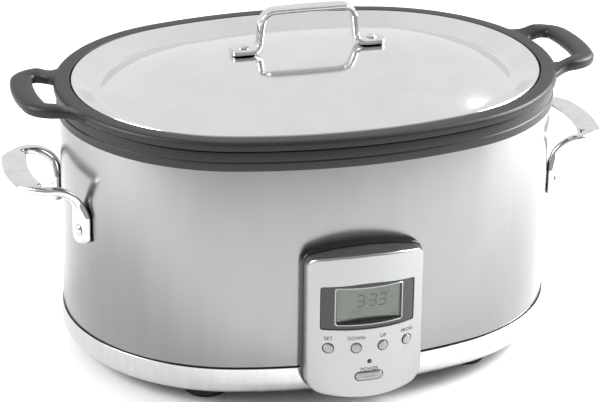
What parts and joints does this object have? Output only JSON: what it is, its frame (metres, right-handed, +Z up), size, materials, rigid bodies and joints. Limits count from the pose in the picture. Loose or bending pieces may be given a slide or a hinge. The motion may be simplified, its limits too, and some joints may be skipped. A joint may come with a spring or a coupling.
{
  "type": "slow cooker",
  "caption": "Oval countertop slow cooker with a steel housing, lift-out cast pot, domed lid, side handles and a bulged control panel with push buttons.",
  "frame": {"origin": "on the table, under the middle of the whole object's plan box", "axes": "+Z up, the control panel faces -Y, +X along the long oval towards the right-hand handle"},
  "size_m": [0.49, 0.3312, 0.281],
  "materials": {
    "polished_steel": "polished",
    "satin_steel": "satin",
    "well_steel": "satin",
    "black_plastic": "matte",
    "charcoal_plastic": "matte",
    "black_gloss": "gloss",
    "silver_face": "satin",
    "display_grey": "gloss",
    "clear_window": "gloss",
    "lcd_glass": "satin",
    "indicator_red": "gloss",
    "board_green": "gloss",
    "ribbon_grey": "matte",
    "copper_winding": "satin",
    "relay_blue": "gloss",
    "lead_white": "matte",
    "mica": "matte",
    "glass_wool": "matte",
    "zinc_steel": "satin",
    "foot_rubber": "matte",
    "cast_steel": "polished",
    "pot_coating": "satin",
    "button_grey": "satin"
  },
  "bodies": {
    "base": {"housing_shell": "polished_steel", "base_skirt": "satin_steel", "base_tray": "black_plastic", "rim_collar": "charcoal_plastic", "heating_well": "well_steel", "heater_band": "mica", "heater_clamp": "satin_steel", "insulation_wrap": "glass_wool", "well_posts": "zinc_steel", "post_screws": "zinc_steel", "temperature_sensor": "black_plastic", "thermal_fuse": "zinc_steel", "control_frame": "black_gloss", "control_face": "silver_face", "display_surround": "display_grey", "display_lens": "clear_window", "lcd_module": "lcd_glass", "power_light": "indicator_red", "button_switches": "black_plastic", "control_board": "board_green", "board_screws": "zinc_steel", "panel_screws": "zinc_steel", "control_ribbon": "ribbon_grey", "power_board": "board_green", "transformer": "copper_winding", "relay": "relay_blue", "terminal_block": "board_green", "power_board_screws": "zinc_steel", "heater_leads": "lead_white", "cord_gland": "black_plastic", "gland_nut": "black_plastic", "front_left_foot": "foot_rubber", "front_right_foot": "foot_rubber", "rear_left_foot": "foot_rubber", "rear_right_foot": "foot_rubber", "foot_screws": "zinc_steel", "left_side_handle": "cast_steel", "right_side_handle": "cast_steel", "left_handle_rivets": "cast_steel", "right_handle_rivets": "cast_steel", "rivet_washers": "zinc_steel"},
    "pot": {"insert_pot": "pot_coating", "left_pot_grip": "pot_coating", "right_pot_grip": "pot_coating"},
    "lid": {"lid_shell": "polished_steel", "lid_handle": "cast_steel", "lid_rivets": "cast_steel"},
    "set_button_key": {"set_button": "button_grey"},
    "down_button_key": {"down_button": "button_grey"},
    "up_button_key": {"up_button": "button_grey"},
    "program_button_key": {"program_button": "button_grey"},
    "power_button_key": {"power_button": "button_grey"}
  },
  "joints": [
    {"name": "pot_lift", "type": "slide", "parent": "base", "child": "pot", "axis": [0, 0, 1], "range_m": [0, 0.16]},
    {"name": "lid_lift", "type": "slide", "parent": "pot", "child": "lid", "axis": [0, 0, 1], "range_m": [0, 0.15]},
    {"name": "set_button_press", "type": "slide", "parent": "base", "child": "set_button_key", "axis": [0, 1, 0], "range_m": [0, 0.0008], "stiffness_N_per_m": 900},
    {"name": "down_button_press", "type": "slide", "parent": "base", "child": "down_button_key", "axis": [0, 1, 0], "range_m": [0, 0.0008], "stiffness_N_per_m": 900},
    {"name": "up_button_press", "type": "slide", "parent": "base", "child": "up_button_key", "axis": [0, 1, 0], "range_m": [0, 0.0008], "stiffness_N_per_m": 900},
    {"name": "program_button_press", "type": "slide", "parent": "base", "child": "program_button_key", "axis": [0, 1, 0], "range_m": [0, 0.0008], "stiffness_N_per_m": 900},
    {"name": "power_button_press", "type": "slide", "parent": "base", "child": "power_button_key", "axis": [0, 1, 0], "range_m": [0, 0.0008], "stiffness_N_per_m": 900}
  ]
}
